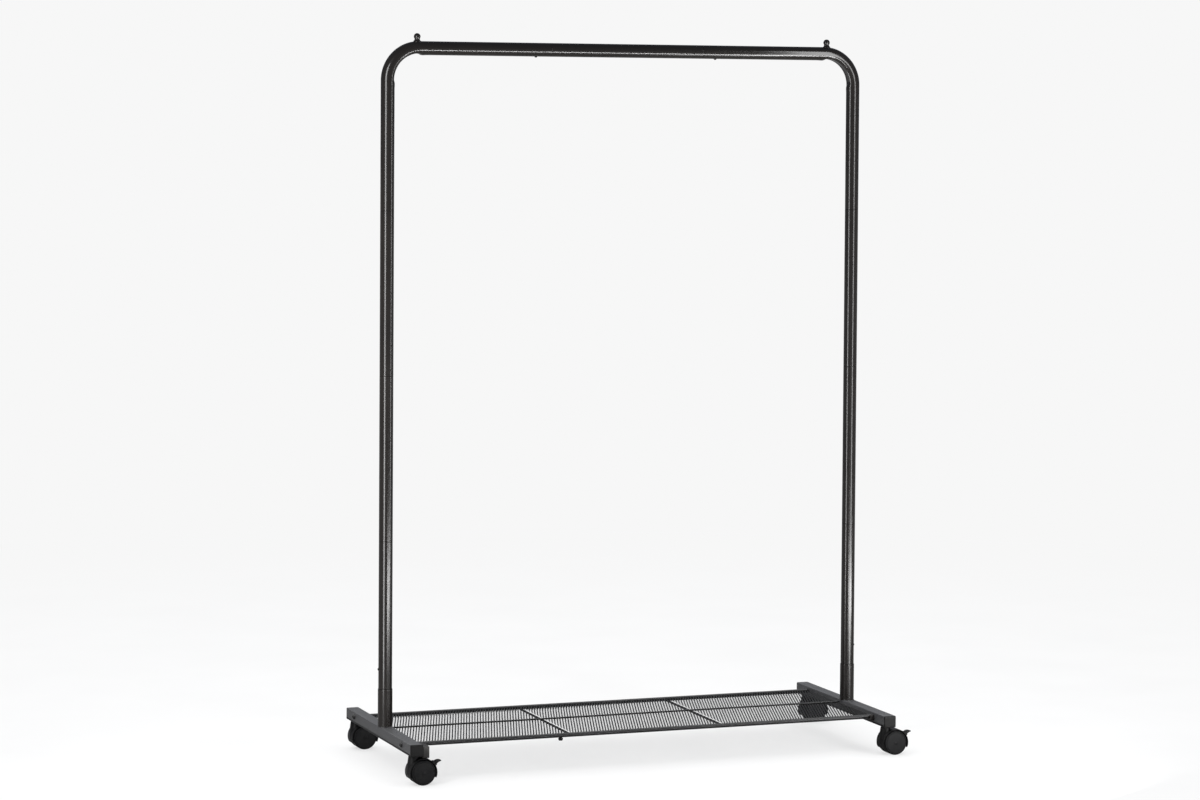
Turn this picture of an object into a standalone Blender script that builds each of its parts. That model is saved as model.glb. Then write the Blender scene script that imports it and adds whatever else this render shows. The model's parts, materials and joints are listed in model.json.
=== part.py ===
"""Garment rail on casters.

A knock-down steel clothes rail.  Two rectangular foot tubes carry a stack of round
post tubes each; two bent tubes and a centre tube close the frame at the top; a
metal mesh shelf is bolted between the feet; four twin-wheel casters carry it all.
Units are metres, +Z up, the floor is z = 0, the rail runs along X, the hanging
side faces -Y.
"""
import math

import bpy
import numpy as np

# ---------------------------------------------------------------- driving sizes
POST_SPACING = 1.100        # centre to centre of the two posts
X0 = -0.0216                # puts the origin under the middle of the overall box
POST_Y = -0.010             # posts stand 10 mm ahead of the middle of the feet

TUBE_R = 0.0150             # post and rail tube, outer radius
TUBE_WALL = 0.0012
SPIGOT_R = 0.0134           # swaged male end, outer radius
SPIGOT_WALL = 0.0011
SPIGOT_LEN = 0.045
SOCKET_R = 0.0159           # short post socket on the foot
FIT = 0.0003                # clearance between separate pieces

FOOT_TOP = 0.089            # top face of the foot tube above the floor
FOOT_W = 0.028
FOOT_H = 0.026
FOOT_WALL = 0.0015
FOOT_LEN = 0.485            # over the end caps
CAP_T = 0.003

JOINT_Z = (0.1713, 0.4930, 0.8520, 1.2090)   # splices in each post
RAIL_Z = 1.5605             # axis of the top rail
RAIL_JOINT_X = 0.179        # splices in the rail, either side of the middle
BEND_R = 0.070              # axis radius of the two corner bends
PEG_X = 0.484               # hanger-stop pegs, either side of the middle

SHELF_Y = 0.178             # shelf bars and their bolts, either side of the middle
SHELF_Z = FOOT_TOP - 0.0102
BAR_R = 0.00475
BAR_BORE_R = 0.00265
SHEET_T = 0.0010
CROSS_X = 0.178
CROSS_R = 0.0025
WIRE_R = 0.0020

CASTER_Y = 0.217            # swivel axes, either side of the middle
TRAIL = 0.0176              # wheel centre behind the swivel axis
WHEEL_R = 0.027
WHEEL_IN = 0.0026
WHEEL_OUT = 0.0202

SEG = 20

XL = X0 - POST_SPACING / 2
XR = X0 + POST_SPACING / 2
FOOT_BOTTOM = FOOT_TOP - FOOT_H

# ---------------------------------------------------------------- empty the file
for ob in list(bpy.data.objects):
    bpy.data.objects.remove(ob, do_unlink=True)

model = bpy.data.collections.new("garment_rail")
cutters = bpy.data.collections.new("cutters")
bpy.context.scene.collection.children.link(model)
bpy.context.scene.collection.children.link(cutters)

LOOKS = {
    "painted_metal": ((0.035, 0.032, 0.030, 1), 0.0, 0.32),
    "foot_paint": ((0.075, 0.075, 0.078, 1), 0.0, 0.45),
    "matte_plastic": ((0.012, 0.012, 0.012, 1), 0.0, 0.55),
    "steel": ((0.45, 0.45, 0.46, 1), 1.0, 0.35),
}


def paint(ob, look):
    mat = bpy.data.materials.new(ob.name + "_mat")
    mat.use_nodes = True
    bsdf = mat.node_tree.nodes["Principled BSDF"]
    col, metal, rough = LOOKS[look]
    bsdf.inputs["Base Color"].default_value = col
    bsdf.inputs["Metallic"].default_value = metal
    bsdf.inputs["Roughness"].default_value = rough
    ob.data.materials.clear()
    ob.data.materials.append(mat)


def put(name, verts, edges, faces, look=None, loc=(0, 0, 0), rot=(0, 0, 0)):
    me = bpy.data.meshes.new(name)
    me.from_pydata(verts, edges, faces)
    me.update()
    ob = bpy.data.objects.new(name, me)
    ob.location = loc
    ob.rotation_euler = rot
    if look:
        model.objects.link(ob)
        paint(ob, look)
    else:
        cutters.objects.link(ob)
        ob.hide_render = True
        ob.display_type = 'WIRE'
    return ob


def box(name, lo, hi, look=None, loc=(0, 0, 0), rot=(0, 0, 0)):
    (x0, y0, z0), (x1, y1, z1) = lo, hi
    v = [(x0, y0, z0), (x1, y0, z0), (x1, y1, z0), (x0, y1, z0),
         (x0, y0, z1), (x1, y0, z1), (x1, y1, z1), (x0, y1, z1)]
    f = [(0, 3, 2, 1), (4, 5, 6, 7), (0, 1, 5, 4), (1, 2, 6, 5), (2, 3, 7, 6), (3, 0, 4, 7)]
    return put(name, v, [], f, look, loc, rot)


def lathe(name, prof, look=None, loc=(0, 0, 0), rot=(0, 0, 0), seg=SEG, ring=False):
    """Turn a profile of (radius, z) about local Z."""
    v = [(r, 0.0, z) for r, z in prof]
    n = len(v)
    e = [(i, i + 1) for i in range(n - 1)] + ([(n - 1, 0)] if ring else [])
    ob = put(name, v, e, [], look, loc, rot)
    m = ob.modifiers.new("turn", 'SCREW')
    m.axis = 'Z'
    m.angle = 2 * math.pi
    m.steps = seg
    m.render_steps = seg
    m.use_merge_vertices = True
    m.merge_threshold = 1e-5
    m.use_smooth_shade = True
    m.use_normal_calculate = False
    return ob


def rod(name, r, z0, z1, look=None, loc=(0, 0, 0), rot=(0, 0, 0), seg=24):
    return lathe(name, [(0, z1), (r, z1), (r, z0), (0, z0)], look, loc, rot, seg)


def cut(ob, tool, op='DIFFERENCE'):
    m = ob.modifiers.new(op.lower() + "_" + tool.name, 'BOOLEAN')
    m.operation = op
    m.solver = 'EXACT'
    m.object = tool
    return ob


def bevel(ob, w, seg=2, angle=35):
    m = ob.modifiers.new("round", 'BEVEL')
    m.width = w
    m.segments = seg
    m.limit_method = 'ANGLE'
    m.angle_limit = math.radians(angle)
    m.use_clamp_overlap = True
    return ob


def prism(name, pts, y0, y1, look=None, loc=(0, 0, 0), rot=(0, 0, 0)):
    """Extrude a closed outline of (x, z) points along Y.  Outline runs counter-
    clockwise seen from -Y."""
    n = len(pts)
    v = [(x, y0, z) for x, z in pts] + [(x, y1, z) for x, z in pts]
    f = [tuple(range(n)), tuple(range(2 * n - 1, n - 1, -1))]
    f += [(i, i + n, (i + 1) % n + n, (i + 1) % n) for i in range(n)]
    return put(name, v, [], f, look, loc, rot)


ROT_X = (0, math.pi / 2, 0)      # local Z becomes world X
ROT_Y = (-math.pi / 2, 0, 0)     # local Z becomes world Y

# ---------------------------------------------------------------- feet
IN_W = FOOT_W - 2 * FOOT_WALL
IN_H = FOOT_H - 2 * FOOT_WALL
TUBE_HALF = FOOT_LEN / 2 - CAP_T - 0.0001

for side, x, out in (("left", XL, -1), ("right", XR, 1)):
    foot = box(f"foot_{side}", (-FOOT_W / 2, -TUBE_HALF, -FOOT_H), (FOOT_W / 2, TUBE_HALF, 0),
               "foot_paint", loc=(x, 0, FOOT_TOP))
    # long edges rounded
    bw = foot.data.attributes.new("bevel_weight_edge", 'FLOAT', 'EDGE')
    for ed in foot.data.edges:
        a, b = (foot.data.vertices[i].co for i in ed.vertices)
        bw.data[ed.index].value = 1.0 if abs(a.y - b.y) > 0.1 else 0.0
    m = foot.modifiers.new("round", 'BEVEL')
    m.width = 0.0020
    m.segments = 3
    m.limit_method = 'WEIGHT'
    bore = box(f"cut_foot_bore_{side}", (-IN_W / 2, -0.3, -FOOT_H + FOOT_WALL),
               (IN_W / 2, 0.3, -FOOT_WALL), loc=(x, 0, FOOT_TOP))
    cut(foot, bore)
    hole = rod(f"cut_foot_socket_{side}", 0.0112, -0.006, 0.006, loc=(x, POST_Y, FOOT_TOP), seg=24)
    cut(foot, hole)
    for end, y in (("front", -CASTER_Y), ("rear", CASTER_Y)):
        h = rod(f"cut_foot_stem_{side}_{end}", 0.0044, -0.006, 0.006, loc=(x, y, FOOT_BOTTOM), seg=16)
        cut(foot, h)
    for end, y in (("front", -SHELF_Y), ("rear", SHELF_Y)):
        a = rod(f"cut_foot_head_{side}_{end}", 0.0027, -0.004, 0.004,
                loc=(x + out * FOOT_W / 2, y, SHELF_Z), rot=ROT_X, seg=16)
        cut(foot, a)
        b = rod(f"cut_foot_shank_{side}_{end}", 0.0027, -0.004, 0.004,
                loc=(x - out * FOOT_W / 2, y, SHELF_Z), rot=ROT_X, seg=16)
        cut(foot, b)

    for end, s in (("front", -1), ("rear", 1)):
        g = 0.0004
        y_face = s * FOOT_LEN / 2
        y_in = s * (FOOT_LEN / 2 - CAP_T)
        y_plug = s * (FOOT_LEN / 2 - CAP_T - 0.0045)
        # flange and plug, one moulding
        cap = box(f"end_cap_{side}_{end}", (-FOOT_W / 2 + 0.0001, min(y_face, y_in), -FOOT_H + 0.0001),
                  (FOOT_W / 2 - 0.0001, max(y_face, y_in), -0.0001), "matte_plastic", loc=(x, 0, FOOT_TOP))
        bevel(cap, 0.0010, 2)
        plug = box(f"cut_cap_plug_{side}_{end}",
                   (-IN_W / 2 + g, min(y_in - s * 0.001, y_plug), -FOOT_H + FOOT_WALL + g),
                   (IN_W / 2 - g, max(y_in - s * 0.001, y_plug), -FOOT_WALL - g), loc=(x, 0, FOOT_TOP))
        # the plug starts inside the flange so the two become one body
        plug.data.vertices.foreach_set("co", np.array(
            [(v.co.x, v.co.y if abs(v.co.y) < abs(y_in) - 0.0011 else s * (FOOT_LEN / 2 - 0.0015), v.co.z)
             for v in plug.data.vertices], dtype=np.float32).ravel())
        cut(cap, plug, 'UNION')

# ---------------------------------------------------------------- posts
Ri = TUBE_R - TUBE_WALL
Si = SPIGOT_R - SPIGOT_WALL


def straight_tube(name, z0, z1, loc, rot=(0, 0, 0)):
    """Open tube from z0 to z1 with a swaged male end above z1."""
    prof = [(TUBE_R, z1 - 0.0015), (TUBE_R, z0), (Ri, z0), (Ri, z1 - 0.0030), (Si, z1 + 0.0010),
            (Si, z1 + SPIGOT_LEN), (SPIGOT_R - 0.0006, z1 + SPIGOT_LEN), (SPIGOT_R, z1 + SPIGOT_LEN - 0.0012),
            (SPIGOT_R, z1)]
    return lathe(name, prof, "painted_metal", loc, rot, ring=True)


BUTTON_R = 0.0032
BUTTON_Z = JOINT_Z[0] + 0.0430       # snap button above the lowest splice
RAIL_BUTTON_X = RAIL_JOINT_X + 0.0330


def snap_button(name, loc, rot):
    """Domed spring button; local +Z points out of the tube, z = 0 on the tube axis."""
    prof = [(0, TUBE_R + 0.0022), (0.0016, TUBE_R + 0.0019), (0.0027, TUBE_R + 0.0011), (BUTTON_R, TUBE_R - 0.0002),
            (BUTTON_R, 0.0102), (0.0044, 0.0100), (0.0044, 0.0088), (0, 0.0088)]
    return lathe(name, prof, "steel", loc, rot, seg=16)


for side, x, out in (("left", XL, -1), ("right", XR, 1)):
    # socket: wide lower part, male end up, short neck let into the foot
    zt = JOINT_Z[0]
    zb = FOOT_TOP + 0.0002
    So = SOCKET_R
    prof = [(So, zt - 0.0006), (So, zb + 0.0001), (0.0108, zb), (0.0108, FOOT_TOP - 0.0090), (0.0092, FOOT_TOP - 0.0090),
            (0.0092, zb + 0.0012), (Si, zb + 0.0040), (Si, zt + 0.0600), (SPIGOT_R - 0.0006, zt + 0.0600),
            (SPIGOT_R, zt + 0.0588), (SPIGOT_R, zt + 0.0001), (So - 0.0006, zt)]
    sock = lathe(f"post_socket_{side}", prof, "painted_metal", (x, POST_Y, 0), ring=True)
    rot_out = (0, out * math.pi / 2, 0)
    h = rod(f"cut_button_inner_{side}", BUTTON_R + 0.0001, 0.006, 0.020,
            loc=(x, POST_Y, BUTTON_Z), rot=rot_out, seg=16)
    cut(sock, h)

    lower = straight_tube(f"post_{side}_lower", JOINT_Z[0] + FIT, JOINT_Z[1], (x, POST_Y, 0))
    h = rod(f"cut_button_outer_{side}", BUTTON_R + 0.0001, 0.006, 0.020,
            loc=(x, POST_Y, BUTTON_Z), rot=rot_out, seg=16)
    cut(lower, h)
    straight_tube(f"post_{side}_middle", JOINT_Z[1] + FIT, JOINT_Z[2], (x, POST_Y, 0))
    straight_tube(f"post_{side}_upper", JOINT_Z[2] + FIT, JOINT_Z[3], (x, POST_Y, 0))
    snap_button(f"snap_button_post_{side}", (x, POST_Y, BUTTON_Z), rot_out)

# ---------------------------------------------------------------- bent corner tubes


def bent_tube(name, sgn, n=8):
    """Vertical leg, quarter bend, horizontal arm: a ring section swept along the axis."""
    xc = POST_SPACING / 2
    zc = RAIL_Z - BEND_R
    path = [((xc, JOINT_Z[3] + FIT), 0.0)]
    for i in range(n + 1):
        a = math.pi / 2 * i / n
        path.append(((xc - BEND_R + BEND_R * math.cos(a), zc + BEND_R * math.sin(a)), a))
    path.append(((RAIL_JOINT_X + FIT, RAIL_Z), math.pi / 2))
    verts, faces = [], []
    for (px, pz), a in path:
        for r in (TUBE_R, Ri):
            for k in range(SEG):
                t = 2 * math.pi * k / SEG
                # in-plane direction points away from the bend centre
                d, y = r * math.cos(t), r * math.sin(t)
                verts.append((sgn * (px + d * math.cos(a)), y, pz + d * math.sin(a)))
    step = 2 * SEG

    def quad(a, b, c, d):
        faces.append((a, b, c, d) if sgn > 0 else (d, c, b, a))
    for i in range(len(path) - 1):
        for k in range(SEG):
            k2 = (k + 1) % SEG
            o = i * step
            quad(o + k, o + k2, o + step + k2, o + step + k)
            quad(o + SEG + k, o + step + SEG + k, o + step + SEG + k2, o + SEG + k2)
    last = (len(path) - 1) * step
    for k in range(SEG):
        k2 = (k + 1) % SEG
        quad(k, SEG + k, SEG + k2, k2)
        quad(last + k, last + k2, last + SEG + k2, last + SEG + k)
    ob = put(name, verts, [], faces, "painted_metal", loc=(X0, POST_Y, 0))
    for p in ob.data.polygons:
        p.use_smooth = True
    return ob


for side, sgn in (("left", -1), ("right", 1)):
    outer = bent_tube(f"corner_tube_{side}", sgn)
    down = (math.pi, 0, 0)
    h = rod(f"cut_rail_button_{side}", BUTTON_R + 0.0001, 0.006, 0.020,
            loc=(X0 + sgn * RAIL_BUTTON_X, POST_Y, RAIL_Z), rot=down, seg=16)
    cut(outer, h)
    h = rod(f"cut_peg_{side}", 0.0026, 0.006, 0.020, loc=(X0 + sgn * PEG_X, POST_Y, RAIL_Z), seg=12)
    cut(outer, h)
    snap_button(f"snap_button_rail_{side}", (X0 + sgn * RAIL_BUTTON_X, POST_Y, RAIL_Z), down)

    # ball-headed peg: turned base, ball, screw tail through the tube wall
    zt = TUBE_R + 0.0003
    cz, br = TUBE_R + 0.0097, 0.0075
    prof = [(br * math.sin(math.radians(a)), cz + br * math.cos(math.radians(a))) for a in (0, 25, 50, 75, 100, 120, 136)]
    prof[0] = (0, cz + br)
    prof += [(0.0058, zt + 0.0028), (0.0078, zt + 0.0012), (0.0080, zt), (0.0022, zt), (0.0022, zt - 0.0060),
             (0, zt - 0.0066)]
    lathe(f"ball_peg_{side}", prof, "painted_metal", (X0 + sgn * PEG_X, POST_Y, RAIL_Z), seg=20)

# ---------------------------------------------------------------- centre rail tube
L = RAIL_JOINT_X
half = [(TUBE_R, L - 0.0015), (TUBE_R, -L + 0.0015), (SPIGOT_R, -L), (SPIGOT_R, -L - 0.0538),
        (SPIGOT_R - 0.0006, -L - 0.0550), (Si, -L - 0.0550), (Si, -L - 0.0010), (Ri, -L + 0.0030),
        (Ri, L - 0.0030), (Si, L + 0.0010), (Si, L + 0.0550), (SPIGOT_R - 0.0006, L + 0.0550),
        (SPIGOT_R, L + 0.0538), (SPIGOT_R, L)]
rail = lathe("rail_centre", half, "painted_metal", (X0, POST_Y, RAIL_Z), ROT_X, ring=True)
for side, sgn in (("left", -1), ("right", 1)):
    h = rod(f"cut_rail_spigot_{side}", BUTTON_R + 0.0001, 0.006, 0.020,
            loc=(X0 + sgn * RAIL_BUTTON_X, POST_Y, RAIL_Z), rot=(math.pi, 0, 0), seg=16)
    cut(rail, h)

# ---------------------------------------------------------------- mesh shelf
HALF_BAR = POST_SPACING / 2 - FOOT_W / 2 - FIT
for end, y in (("front", -SHELF_Y), ("rear", SHELF_Y)):
    lathe(f"shelf_bar_{end}", [(BAR_R, HALF_BAR), (BAR_R, -HALF_BAR), (BAR_BORE_R, -HALF_BAR), (BAR_BORE_R, HALF_BAR)],
          "painted_metal", (X0, y, SHELF_Z), ROT_X, seg=20, ring=True)

sheet_z0 = SHELF_Z + 0.0010
sheet_z1 = sheet_z0 + SHEET_T
reach = SHELF_Y - BAR_R - FIT
for name, sgn in (("left", -1), ("right", 1)):
    rod(f"shelf_cross_{name}", CROSS_R, -reach, reach, "painted_metal",
        loc=(X0 + sgn * CROSS_X, 0, sheet_z0 - FIT - CROSS_R), rot=ROT_Y, seg=12)
rod("shelf_centre_wire", WIRE_R, -HALF_BAR, HALF_BAR, "painted_metal",
    loc=(X0, 0, sheet_z1 + FIT + WIRE_R), rot=ROT_X, seg=12)


def grille(name, x0, x1, slots):
    """Flat sheet with two rows of slots running front to back."""
    yh = reach
    rim = 0.004
    ribs = 0.0030
    xs = [x0]
    pitch = (x1 - x0 - 2 * rim + ribs) / slots
    for i in range(slots):
        a = x0 + rim + i * pitch
        xs += [a, a + pitch - ribs]
    xs.append(x1)
    ys = [-yh, -yh + rim, -rim / 2, rim / 2, yh - rim, yh]
    nx, ny = len(xs), len(ys)
    verts = [(x, y, sheet_z0) for y in ys for x in xs] + [(x, y, sheet_z1) for y in ys for x in xs]
    N = nx * ny

    def solid(i, j):
        if i < 0 or j < 0 or i >= nx - 1 or j >= ny - 1:
            return False
        return not (i % 2 == 1 and j in (1, 3))
    faces = []
    for j in range(ny - 1):
        for i in range(nx - 1):
            if not solid(i, j):
                continue
            a, b, c, d = j * nx + i, j * nx + i + 1, (j + 1) * nx + i + 1, (j + 1) * nx + i
            faces.append((a, d, c, b))
            faces.append((a + N, b + N, c + N, d + N))
            if not solid(i, j - 1):
                faces.append((a, b, b + N, a + N))
            if not solid(i + 1, j):
                faces.append((b, c, c + N, b + N))
            if not solid(i, j + 1):
                faces.append((c, d, d + N, c + N))
            if not solid(i - 1, j):
                faces.append((d, a, a + N, d + N))
    return put(name, verts, [], faces, "painted_metal", loc=(X0, 0, 0))


g = 0.0004
grille("shelf_mesh_left", -HALF_BAR, -CROSS_X - g, 16)
grille("shelf_mesh_middle", -CROSS_X + g, CROSS_X - g, 16)
grille("shelf_mesh_right", CROSS_X + g, HALF_BAR, 16)

for side, x, out in (("left", XL, -1), ("right", XR, 1)):
    for end, y in (("front", -SHELF_Y), ("rear", SHELF_Y)):
        # local +Z points out of the foot; low round head on the outer wall, shank right through into the bar
        zo = FOOT_W / 2 + 0.0002
        prof = [(0, zo + 0.0014), (0.0020, zo + 0.0014), (0.0022, zo + 0.0028), (0.0038, zo + 0.0028), (0.0048, zo + 0.0018),
                (0.0050, zo), (0.0023, zo), (0.0023, -FOOT_W / 2 - 0.0160), (0, -FOOT_W / 2 - 0.0168)]
        lathe(f"shelf_bolt_{side}_{end}", prof, "steel", (x, y, SHELF_Z), (0, out * math.pi / 2, 0), seg=12)

    # cradle for the front bar on the inner side of the foot: a long lug on the left, a short one on the right
    a0 = FOOT_W / 2 + FIT
    long_lug = side == "left"
    xs = sorted((-out * a0, -out * (a0 + (0.0145 if long_lug else 0.0090))))
    lug = box(f"shelf_lug_{side}", (xs[0], -0.2395 if long_lug else -0.1895, FOOT_BOTTOM - 0.0038 if long_lug else 0.0712),
              (xs[1], -0.1660, FOOT_TOP - 0.0050), "painted_metal", loc=(x, 0, 0))
    bevel(lug, 0.0008, 1)
    h = rod(f"cut_lug_{side}", BAR_R + FIT, -0.03, 0.03, loc=(x, -SHELF_Y, SHELF_Z), rot=ROT_X, seg=20)
    cut(lug, h)
    h2 = box(f"cut_lug_slot_{side}", (xs[0] - 0.001, -SHELF_Y - BAR_R - FIT, SHELF_Z), (xs[1] + 0.001, -0.160, FOOT_TOP + 0.001),
             loc=(x, 0, 0))
    cut(lug, h2)

# small foot pad under the front bar
rod_prof = [(0, 0), (0.0034, 0), (0.0052, -0.0016), (0.0052, -0.0052), (0.0040, -0.0062), (0, -0.0062)]
lathe("shelf_pad", rod_prof, "matte_plastic", (X0 - 0.205, -SHELF_Y, SHELF_Z - BAR_R - 0.0002), seg=16)

# ---------------------------------------------------------------- casters
FENDER_IN = WHEEL_R + 0.0014
FENDER_OUT = FENDER_IN + 0.0022
HALF_W = WHEEL_OUT - 0.0015
NECK_TOP = FOOT_BOTTOM - 0.0016


def arc(r, a0, a1, n):
    return [(r * math.cos(math.radians(a0 + (a1 - a0) * i / n)), r * math.sin(math.radians(a0 + (a1 - a0) * i / n)))
            for i in range(n + 1)]


def caster(side, end, x, y, brake):
    """Twin-wheel caster.  Origin of the housing on the swivel axis at the floor."""
    cx, cz = TRAIL, WHEEL_R
    tag = f"{side}_{end}"
    at = (x, y, 0)
    # fender: band over both wheels
    band = [(cx + px, cz + pz) for px, pz in arc(FENDER_OUT, -22, 205, 14)]
    band += [(cx + px, cz + pz) for px, pz in arc(FENDER_IN, 205, -22, 14)]
    house = prism(f"caster_housing_{tag}", band, -HALF_W, HALF_W, "matte_plastic", loc=at)
    # centre web between the wheels
    plate = [(px, pz) for px, pz in arc(FENDER_IN + 0.0008, -18, 201, 12)]
    plate += [(px, pz) for px, pz in arc(0.0170, 212, 331, 6)]
    web = prism(f"cut_web_{tag}", plate, -0.0018, 0.0018, loc=(x + cx, y, cz))
    cut(house, web, 'UNION')
    # neck: turned boss under the foot, narrowing up
    neck = lathe(f"cut_neck_{tag}", [(0, NECK_TOP), (0.0108, NECK_TOP), (0.0118, NECK_TOP - 0.0012), (0.0128, 0.0520), (0.0128, 0.0440),
                                     (0, 0.0440)], loc=at, seg=20)
    cut(house, neck, 'UNION')
    for s in (-1, 1):
        y0, y1 = sorted((s * (WHEEL_IN - 0.0005), s * 0.030))
        clear = rod(f"cut_wheel_room_{tag}_{'a' if s < 0 else 'b'}", FENDER_IN - 0.0005, y0, y1, loc=(x + cx, y, cz), rot=ROT_Y, seg=24)
        cut(house, clear)
    bore = rod(f"cut_stem_bore_{tag}", 0.0041, 0.0528, 0.080, loc=at, rot=(0, 0, 0.13), seg=16)
    cut(house, bore)
    ax = rod(f"cut_axle_bore_{tag}", 0.0031, -0.02, 0.02, loc=(x + cx, y, cz), rot=ROT_Y, seg=16)
    cut(house, ax)

    # stem with collar, fixed in the foot
    lathe(f"caster_stem_{tag}", [(0, FOOT_TOP - 0.0045), (0.0030, FOOT_TOP - 0.0045), (0.0040, FOOT_TOP - 0.0060),
                                 (0.0040, FOOT_BOTTOM - 0.0002), (0.0080, FOOT_BOTTOM - 0.0002), (0.0080, FOOT_BOTTOM - 0.0012),
                                 (0.0040, FOOT_BOTTOM - 0.0012), (0.0040, 0.0541), (0.0030, 0.0533), (0, 0.0533)],
          "steel", loc=at, seg=16)
    rod(f"caster_axle_{tag}", 0.0030, -0.0135, 0.0135, "steel", loc=(x + cx, y, cz), rot=ROT_Y, seg=16)
    for s, w in ((-1, "outer" if end == "front" else "inner"), (1, "inner" if end == "front" else "outer")):
        # local +Z away from the web; face slightly domed, tread edge rounded
        prof = [(0, WHEEL_OUT), (WHEEL_R - 0.0018, WHEEL_OUT - 0.0008), (WHEEL_R, WHEEL_OUT - 0.0030), (WHEEL_R, WHEEL_IN), (0.0031, WHEEL_IN),
                (0.0031, 0.0140), (0, 0.0140)]
        lathe(f"caster_wheel_{tag}_{w}", prof, "matte_plastic", loc=(x + cx, y, cz),
              rot=(math.pi / 2 if s < 0 else -math.pi / 2, 0, 0), seg=24)

    if brake:
        # lever hinged on two ears on the fender
        a = math.radians(31)
        hr = FENDER_OUT + 0.0030
        hx, hz = cx + hr * math.cos(a), cz + hr * math.sin(a)
        for s in (-1, 1):
            y0, y1 = sorted((s * 0.0071, s * 0.0096))
            ca, sa = math.cos(a), math.sin(a)
            pts = []
            for u, w in ((-0.0042, -0.0036), (-0.0042, 0.0012), (-0.0022, 0.0030), (0.0022, 0.0030), (0.0042, 0.0012), (0.0042, -0.0036)):
                # u along the fender (tangent), w outward
                pts.append((hx - u * sa * -1 + w * ca, hz + u * -ca + w * sa))
            pts = pts[::-1]
            ear = prism(f"cut_ear_{tag}_{'a' if s < 0 else 'b'}", pts, y0, y1, loc=at)
            cut(house, ear, 'UNION')
        pin = rod(f"cut_hinge_bore_{tag}", 0.0012, -0.012, 0.012, loc=(x + hx, y, hz), rot=ROT_Y, seg=12)
        cut(house, pin)
        # the lever: barrel and a beak-shaped tab; local origin on the hinge
        tab = [(0.0000, 0.0027), (-0.0015, 0.0014), (-0.0018, 0.0000), (-0.0013, -0.0013), (0.0000, -0.0018), (0.0019, -0.0015),
               (0.0046, -0.0006), (0.0072, 0.0014), (0.0102, 0.0030), (0.0132, 0.0039), (0.0140, 0.0046), (0.0139, 0.0055),
               (0.0128, 0.0062), (0.0090, 0.0066), (0.0052, 0.0061), (0.0022, 0.0048)]
        lever = prism(f"brake_lever_{side}", tab, -0.0066, 0.0066, "matte_plastic", loc=(x + hx, y, hz))
        trun = rod(f"cut_trunnion_{tag}", 0.0011, -0.0092, 0.0092, loc=(x + hx, y, hz), rot=ROT_Y, seg=12)
        cut(lever, trun, 'UNION')


for side, x in (("left", XL), ("right", XR)):
    caster(side, "front", x, -CASTER_Y, True)
    caster(side, "rear", x, CASTER_Y, False)
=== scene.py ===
"""Looks of the garment rail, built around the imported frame."""
import json
import math

import bmesh
import bpy
import numpy as np
from mathutils import Matrix, Vector

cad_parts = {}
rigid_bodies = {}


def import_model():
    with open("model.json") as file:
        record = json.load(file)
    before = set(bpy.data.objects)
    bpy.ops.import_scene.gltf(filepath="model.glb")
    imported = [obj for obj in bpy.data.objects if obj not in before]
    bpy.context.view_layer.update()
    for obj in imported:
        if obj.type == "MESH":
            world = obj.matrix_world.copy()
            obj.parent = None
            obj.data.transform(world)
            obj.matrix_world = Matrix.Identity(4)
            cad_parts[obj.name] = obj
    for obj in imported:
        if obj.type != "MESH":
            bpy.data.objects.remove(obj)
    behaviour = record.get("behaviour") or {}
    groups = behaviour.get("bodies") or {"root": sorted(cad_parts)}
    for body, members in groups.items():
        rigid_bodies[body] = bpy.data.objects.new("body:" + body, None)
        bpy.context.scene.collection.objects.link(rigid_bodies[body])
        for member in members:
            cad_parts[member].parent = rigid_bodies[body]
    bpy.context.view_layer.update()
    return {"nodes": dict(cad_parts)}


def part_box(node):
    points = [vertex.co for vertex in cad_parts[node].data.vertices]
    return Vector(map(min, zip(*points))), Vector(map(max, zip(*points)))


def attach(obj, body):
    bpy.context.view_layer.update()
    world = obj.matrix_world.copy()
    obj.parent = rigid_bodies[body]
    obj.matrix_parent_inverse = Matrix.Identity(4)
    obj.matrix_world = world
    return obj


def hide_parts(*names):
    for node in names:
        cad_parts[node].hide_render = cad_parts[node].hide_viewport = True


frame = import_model()
NODES = frame["nodes"]
coll = bpy.context.scene.collection


# ------------------------------------------------------------------ places, all read from the frame
def mid(node):
    lo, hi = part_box(node)
    return (lo + hi) / 2


def lohi(node):
    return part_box(node)


LOK, HIK = lohi("post_left_middle")
XL = mid("post_left_middle").x
XR = mid("post_right_middle").x
PY = mid("post_left_middle").y
TUBE_R = (HIK.x - LOK.x) / 2
X0 = (XL + XR) / 2
FL_LO, FL_HI = lohi("foot_left")
FOOT_TOP = FL_HI.z
FOOT_BOT = FL_LO.z
FOOT_W = FL_HI.x - FL_LO.x
FOOT_H = FOOT_TOP - FOOT_BOT
CAP_Y = lohi("end_cap_left_rear")[1].y
RAIL_Z = mid("rail_centre").z
SOCK_LO, SOCK_HI = lohi("post_socket_left")
SOCKET_R = (SOCK_HI.x - SOCK_LO.x) / 2
SP = TUBE_R - 0.0016                       # male end of each splice
SI = SP - 0.0011
Z1 = lohi("post_left_lower")[0].z          # splice, socket to lower tube
Z2 = lohi("post_left_middle")[0].z
Z3 = lohi("post_left_upper")[0].z
Z4 = lohi("corner_tube_left")[0].z
RJ = X0 - lohi("corner_tube_left")[1].x    # rail splice, distance from the middle
BEND_R = 0.070
PEG_X = abs(mid("ball_peg_left").x - X0)
SHELF_Z = mid("shelf_bar_front").z
SHELF_Y = mid("shelf_bar_rear").y
BAR_R = (lohi("shelf_bar_front")[1].z - lohi("shelf_bar_front")[0].z) / 2
HALF_BAR = (lohi("shelf_bar_front")[1].x - lohi("shelf_bar_front")[0].x) / 2
CASTER_Y = mid("caster_stem_left_rear").y
WHEEL_R = mid("caster_wheel_left_front_outer").z
TRAIL = mid("caster_axle_left_front").x - mid("caster_stem_left_front").x
W_IN = abs(lohi("caster_wheel_left_rear_outer")[0].y - CASTER_Y)
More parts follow.
